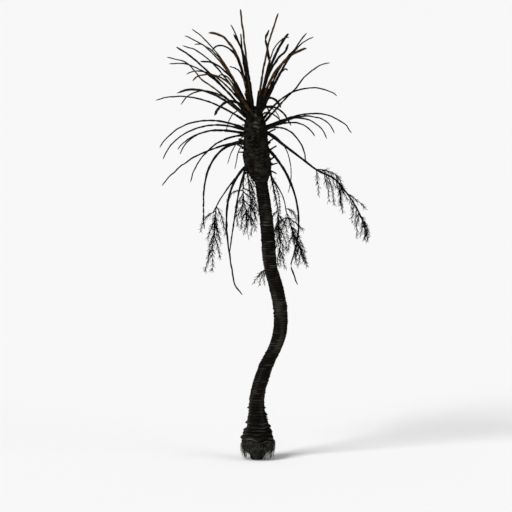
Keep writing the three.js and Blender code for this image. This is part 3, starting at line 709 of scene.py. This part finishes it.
for azimuth, height, lift, length in STUBS:
    out = float(boot_radius(height)[0, 0]) - STUB_DEPTH
    start = root_point(azimuth, height, out / (out + STUB_DEPTH))
    line = limb_line(azimuth, lift, STUB_DROOP, length + STUB_HIDDEN, start, points=STUB_POINTS)
    lines.append(line)
    radii.append(np.linspace(0.03, rng.uniform(0.017, 0.025), len(line)))
stubs = sweep("cut_stubs", lines, radii, sides=7, flatness=0.7, wobble=0.015, seed=9,
              material=rib_mats["black"])
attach(stubs, "root")

# ---- Fruit stalks and tassels -----------------------------------------------------------------------------
# The palm's old fruit stalks bow out from under the leaf bases and hang. They carry tassels of bare strings,
# dry and brittle: sprays of strings that carry finer twigs, all grown here by one seeded rule.
# far_right_stalk holds values rounded from a search, not set by hand.
STALKS = {  # azimuth, root height, lift, droop, length, width, curl, kinks, share of radius at the root
    "left_stalk": (170, 6.04, -47, 17, 1.34, 0.057, 1.5, (), 0.4),
    "right_stalk": (346, 5.96, -55, 36, 1.01, 0.053, 4, (), 0.4),
    "far_right_stalk": (352, 6.7, -36, 41, 3.16, 0.072, 3.5, ((0.45, 17), (0.57, -22)), 0.4),
    "left_inner_stalk": (200, 5.95, -66, 16, 1.78, 0.060, -3, (), 0.85),
    "trunk_left_stalk": (206, 5.92, -97, 0, 0.8, 0.048, 1.5, (), 0.95),
    "trunk_right_stalk": (10, 5.8, -78, 2, 0.9, 0.053, 1.5, (), 0.95),
}
STRING_ORDERS = (  # radius where it starts, pull toward plumb at each step, length of the twigs it carries
    (0.0064, 0.10, (0.025, 0.065)),
    (0.0048, 0.06, None),
)
STRING_STEP = 0.027
MAIN_RADIUS = 0.0115  # of the main string of a spray
SPRAY_POINTS = 14
SPRAY_WANDER = 0.012  # how far a main string wanders off its curve
SIDE_STRING = 0.12  # longest string of a side spray
INNER_TWIN_WIDTH = 0.034
strings = []


def at_share(line, share):
    return line[round(share * (len(line) - 1))]


def grow(start, heading, length, order, source):
    """One string that sags from start, and the finer twigs it carries left and right in turn."""
    thick, pull, carried = STRING_ORDERS[order]
    steps = max(2, round(length / STRING_STEP))
    point, heading = Vector(start), Vector(heading).normalized()
    line = [tuple(point)]
    way = source.uniform(0, 6.28)
    flat = Vector((math.cos(way), math.sin(way), source.uniform(-0.4, 0.4)))
    for i in range(steps):
        heading += Vector((source.gauss(0, 0.05), source.gauss(0, 0.05), source.gauss(0, 0.04) - pull))
        heading.normalize()
        point = point + heading * (length / steps)
        line.append(tuple(point))
        if carried:
            side = heading.cross(flat).normalized() * (1 if i % 2 else -1)
            reach = source.uniform(*carried) * (1.15 - 0.6 * i / steps)
            grow(point, heading + side * source.uniform(0.45, 0.8), reach, order + 1, source)
    strings.append((line, np.linspace(thick, thick * 0.35, len(line))))


def fringe(line, first, last, count, longest, seed, order=0):
    """Strings that leave a line all round, one after another between two shares of its length."""
    source = random.Random(seed)
    for i in range(count):
        share = first + (last - first) * (i + source.uniform(0.1, 0.9)) / count
        at = min(int(share * (len(line) - 1)), len(line) - 2)
        along = Vector(line[at + 1] - line[at]).normalized()
        way = i * GOLDEN_TURN + source.uniform(-0.5, 0.5)
        side = Vector((math.cos(way), math.sin(way), 0))
        side = (side - along * side.dot(along)).normalized()
        length = longest * (1 - 0.5 * i / count) * source.uniform(0.6, 1.1)
        grow(Vector(line[at]), along + side * source.uniform(0.45, 0.85), length, order, source)


def spray(start, azimuth, lift, droop, length, longest, seed, order=0, thick=MAIN_RADIUS):
    """A main string that bends from start, with its fringe of finer strings; gives back its line."""
    line = limb_line(azimuth, lift, droop, length, start, curl=1, points=SPRAY_POINTS)
    u = np.linspace(0, 1, len(line))
    line = line + SPRAY_WANDER * np.sin(u[:, None] * np.array((9.0, 7.0, 0.0)) + seed) * u[:, None]
    strings.append((line, thick * (1 - 0.6 * u)))
    fringe(line, 0.08, 1.0, round(length / STRING_STEP), longest, seed, order)
    return line


def side_sprays(line, rows, longest, first_seed, thick=MAIN_RADIUS):
    """A spray for each row: its share along the line, azimuth, lift, droop and length."""
    for i, (share, *shape) in enumerate(rows):
        spray(at_share(line, share), *shape, longest, first_seed + i, thick=thick)


stalk_mat = dry_wood("dark fruit stalk",
                     (0.0015, 0.0014, 0.0012), (0.006, 0.0045, 0.0035), (0.018, 0.013, 0.009))
string_mat = dry_wood("dry strings",
                      (0.0018, 0.0016, 0.0014), (0.005, 0.0045, 0.0036), (0.014, 0.0125, 0.010), 0.85)
stalk_lines, stalk_radii = {}, []
for name, (azimuth, root, lift, droop, length, width, curl, kinks, out) in STALKS.items():
    stalk_lines[name] = limb_line(azimuth, lift, droop, length, root_point(azimuth, root, out), curl, kinks)
    stalk_radii.append(taper(width))
# A second stalk, thinner and more bent, leaves the root of left_inner_stalk.
inner_twin = limb_line(200, -70, 50, 1.24, root_point(200, 5.95, 0.85), curl=1)
stalks = sweep("fruit_stalks", [*stalk_lines.values(), inner_twin], [*stalk_radii, taper(INNER_TWIN_WIDTH)],
               sides=8, flatness=0.8, wobble=0.03, seed=12, material=stalk_mat)
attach(stalks, "root")
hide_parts(*STALKS)

TASSELS = {  # stalk, share along it, then the main spray: azimuth, lift, droop, length, longest string
    "left_tassel": ("left_stalk", 0.9, 172, -84, 4, 1.34, 0.16),
    "right_tassel": ("right_stalk", 1.0, 346, -74, -12, 1.28, 0.16),
    "trunk_left_tassel": ("trunk_left_stalk", 0.9, 206, -92, 0, 0.7, 0.1),
    "trunk_right_tassel": ("trunk_right_stalk", 0.9, 10, -86, 2, 1.12, 0.16),
}
SIDE_SPRAYS = {  # share along the main spray, azimuth, lift, droop, length
    "left_tassel": [
        (0.0, 8, -58, 30, 0.62), (0.08, 186, -22, 62, 0.54), (0.1, 262, -45, 45, 0.5),
        (0.16, 80, -45, 45, 0.5), (0.24, 196, -55, 30, 0.42), (0.3, 20, -58, 28, 0.4),
        (0.42, 176, -66, 22, 0.42), (0.46, 354, -64, 24, 0.5), (0.56, 186, -72, 4, 0.6),
    ],
    "right_tassel": [
        (0.02, 356, -6, 84, 0.36), (0.12, 188, -12, 86, 0.5), (0.14, 0, -34, 14, 0.42),
        (0.17, 215, -40, 55, 0.5), (0.2, 300, -42, 46, 0.6), (0.26, 350, -44, 36, 0.6),
        (0.34, 70, -50, 34, 0.55), (0.4, 184, -52, 40, 0.4), (0.46, 4, -52, 30, 0.46),
        (0.5, 356, -56, 28, 0.5), (0.56, 250, -60, 24, 0.36), (0.62, 176, -66, 20, 0.3),
        (0.66, 8, -60, 16, 0.36), (0.72, 190, -70, 14, 0.3),
    ],
    "trunk_left_tassel": [(0.0, 330, -55, 38, 0.4), (0.1, 210, -60, 28, 0.34)],
    "trunk_right_tassel": [
        (0.01, 190, -30, 62, 0.34), (0.04, 4, -46, 46, 0.55), (0.08, 262, -48, 42, 0.5),
        (0.14, 88, -50, 38, 0.5), (0.22, 194, -58, 32, 0.45), (0.3, 352, -56, 32, 0.5),
        (0.42, 200, -66, 22, 0.4), (0.52, 10, -66, 20, 0.36), (0.66, 188, -76, 10, 0.38),
        (0.7, 0, -68, 16, 0.38),
    ],
}
for seed, (name, (stalk, at, *shape)) in enumerate(TASSELS.items()):
    main = spray(at_share(stalk_lines[stalk], at), *shape, seed)
    side_sprays(main, SIDE_SPRAYS[name], SIDE_STRING, 100 + 20 * seed)

# The bent inner stalk carries sprays from its bend to its tip. The stalks close to the trunk carry some too.
INNER_SPRAYS = [  # share along it, azimuth, lift, droop, length
    (0.38, 10, -6, 84, 0.38), (0.42, 180, 8, 84, 0.44), (0.46, 196, -52, 40, 0.5),
    (0.44, 350, -30, 50, 0.6), (0.5, 262, -44, 44, 0.5), (0.58, 4, -36, 46, 0.5),
    (0.62, 190, -56, 34, 0.5), (0.7, 80, -50, 40, 0.45), (0.76, 200, -60, 26, 0.4),
    (0.8, 0, -48, 34, 0.4), (0.9, 180, -64, 20, 0.34),
]
TRUNK_LEFT_SPRAYS = [
    (0.15, 350, -46, 44, 0.34), (0.3, 320, -46, 44, 0.34), (0.45, 20, -46, 44, 0.34),
    (0.62, 350, -46, 44, 0.34), (0.8, 320, -46, 44, 0.34),
]
side_sprays(inner_twin, INNER_SPRAYS, SIDE_STRING, 200)
fringe(inner_twin, 0.2, 1.0, count=30, longest=0.12, seed=26)
spray(at_share(inner_twin, 0.72), 0, -82, 6, 0.62, longest=0.02, seed=212, order=1)
side_sprays(stalk_lines["trunk_left_stalk"], TRUNK_LEFT_SPRAYS, 0.09, 220)
fringe(stalk_lines["trunk_left_stalk"], 0.1, 1.0, count=14, longest=0.13, seed=29)
fringe(stalk_lines["trunk_right_stalk"], 0.1, 1.0, count=26, longest=0.15, seed=30)
spray(at_share(stalk_lines["trunk_right_stalk"], 0.06), 0, -62, 32, 0.92, longest=0.05, seed=230)

# The longest stalk carries its strings one by one along its outer half, and a branch of its own over them.
FAR_SPRAYS = [  # share along it, azimuth, lift, droop, length
    (0.45, 350, -82, 4, 0.54), (0.49, 10, -74, 10, 0.6), (0.53, 340, -70, 12, 0.62),
    (0.57, 20, -68, 14, 0.58), (0.6, 330, -78, 8, 0.6), (0.62, 352, -54, 20, 0.4),
    (0.65, 200, -80, 10, 0.34), (0.69, 8, -36, 8, 0.52), (0.72, 350, -70, 16, 0.3),
    (0.77, 190, -76, 14, 0.36), (0.8, 250, -70, 16, 0.36), (0.83, 185, -82, 6, 0.5),
    (0.86, 10, -48, 34, 0.34), (0.88, 340, -74, 12, 0.36), (0.9, 190, -84, 4, 0.34),
    (0.92, 6, -50, 34, 0.28), (0.94, 20, -68, 18, 0.22), (0.96, 190, -84, 4, 0.18),
    (0.98, 300, -76, 8, 0.12),
]
far_line = stalk_lines["far_right_stalk"]
side_sprays(far_line, FAR_SPRAYS, 0.105, 240, thick=0.0095)
fringe(far_line, 0.46, 1.0, count=40, longest=0.09, seed=22, order=1)
far_branch = spray(at_share(far_line, 0.44), 350, 4, 52, 0.56, longest=0.16, seed=260)
branch_sprays = [(share, 352, -62, 20, 0.34) for share in (0.3, 0.5, 0.7, 0.9)]
side_sprays(far_branch, branch_sprays, 0.08, 262, thick=0.008)

# One thin tuft hangs from a scar part-way up the trunk.
TUFT_HEIGHT = 3.84
TUFT_OUT = 0.12  # where it starts, to the left of the trunk's middle
TUFT_SPRAYS = ((185, -44, 0.36), (195, -62, 0.34), (175, -80, 0.3), (210, -30, 0.26))  # azimuth, lift, length
tuft_middle = stem_offset(TUFT_HEIGHT)[0]
tuft_start = (tuft_middle[0] - TUFT_OUT, tuft_middle[1], TUFT_HEIGHT)
for i, (azimuth, lift, length) in enumerate(TUFT_SPRAYS):
    spray(tuft_start, azimuth, lift, 12, length, longest=0.07, seed=280 + i, thick=0.0085)
lines, radii = zip(*strings)
tassels = sweep("fruit_strings", lines, radii, sides=4, flatness=1.0, wobble=0.01, seed=14,
                material=string_mat)
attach(tassels, "root")
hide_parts(*TASSELS, "far_right_tassel_1", "far_right_tassel_2", "trunk_tuft")

# ---- Floor, light and camera ------------------------------------------------------------------------------
# A plain pale floor and a plain soft studio: an even white surround with two broad lamps, and a long lens.
FLOOR_REACH, FLOOR_LEVEL = 500, -0.002
floor_turns = ((-1, -1), (1, -1), (1, 1), (-1, 1))
floor_corners = [(FLOOR_REACH * x, FLOOR_REACH * y, FLOOR_LEVEL) for x, y in floor_turns]
floor = mesh_object("floor", floor_corners, [(0, 1, 2, 3)])
floor_mat, nodes, links, shader = new_material("pale floor", 0.95)
shader.inputs["Base Color"].default_value = (0.9, 0.9, 0.9, 1)
floor.data.materials.append(floor_mat)

world = bpy.data.worlds.new("studio")
world.use_nodes = True
world.node_tree.nodes["Background"].inputs["Color"].default_value = (1, 1, 1, 1)
world.node_tree.nodes["Background"].inputs["Strength"].default_value = 0.3
bpy.context.scene.world = world
bpy.context.scene.view_settings.view_transform = "Standard"


def lamp(name, place, softness, power):
    """A far broad lamp that shines from the side of place toward the palm."""
    light = bpy.data.lights.new(name, "SUN")
    light.angle = math.radians(softness)
    light.energy = power
    piece = bpy.data.objects.new(name, light)
    piece.rotation_euler = (-Vector(place)).to_track_quat("-Z", "Y").to_euler()
    bpy.context.scene.collection.objects.link(piece)


lamp("key lamp", (-0.6, -0.6, 0.75), softness=25, power=3.0)
lamp("fill lamp", (0.8, -0.5, 0.6), softness=40, power=0.7)

CAMERA_DISTANCE = 120.0
CAMERA_LIFT = math.radians(7)
VIEW_WIDTH = 10.24  # metres across the view, at the palm
SENSOR_WIDTH = 36
AIM = Vector((-0.02, 0, 4.11))
camera = bpy.data.cameras.new("camera")
camera.sensor_width = SENSOR_WIDTH
camera.lens = SENSOR_WIDTH * CAMERA_DISTANCE / VIEW_WIDTH
camera.clip_end = 800
camera_piece = bpy.data.objects.new("camera", camera)
camera_piece.location = AIM + CAMERA_DISTANCE * Vector((0, -math.cos(CAMERA_LIFT), math.sin(CAMERA_LIFT)))
camera_piece.rotation_euler = (math.pi / 2 - CAMERA_LIFT, 0, 0)
bpy.context.scene.collection.objects.link(camera_piece)
bpy.context.scene.camera = camera_piece
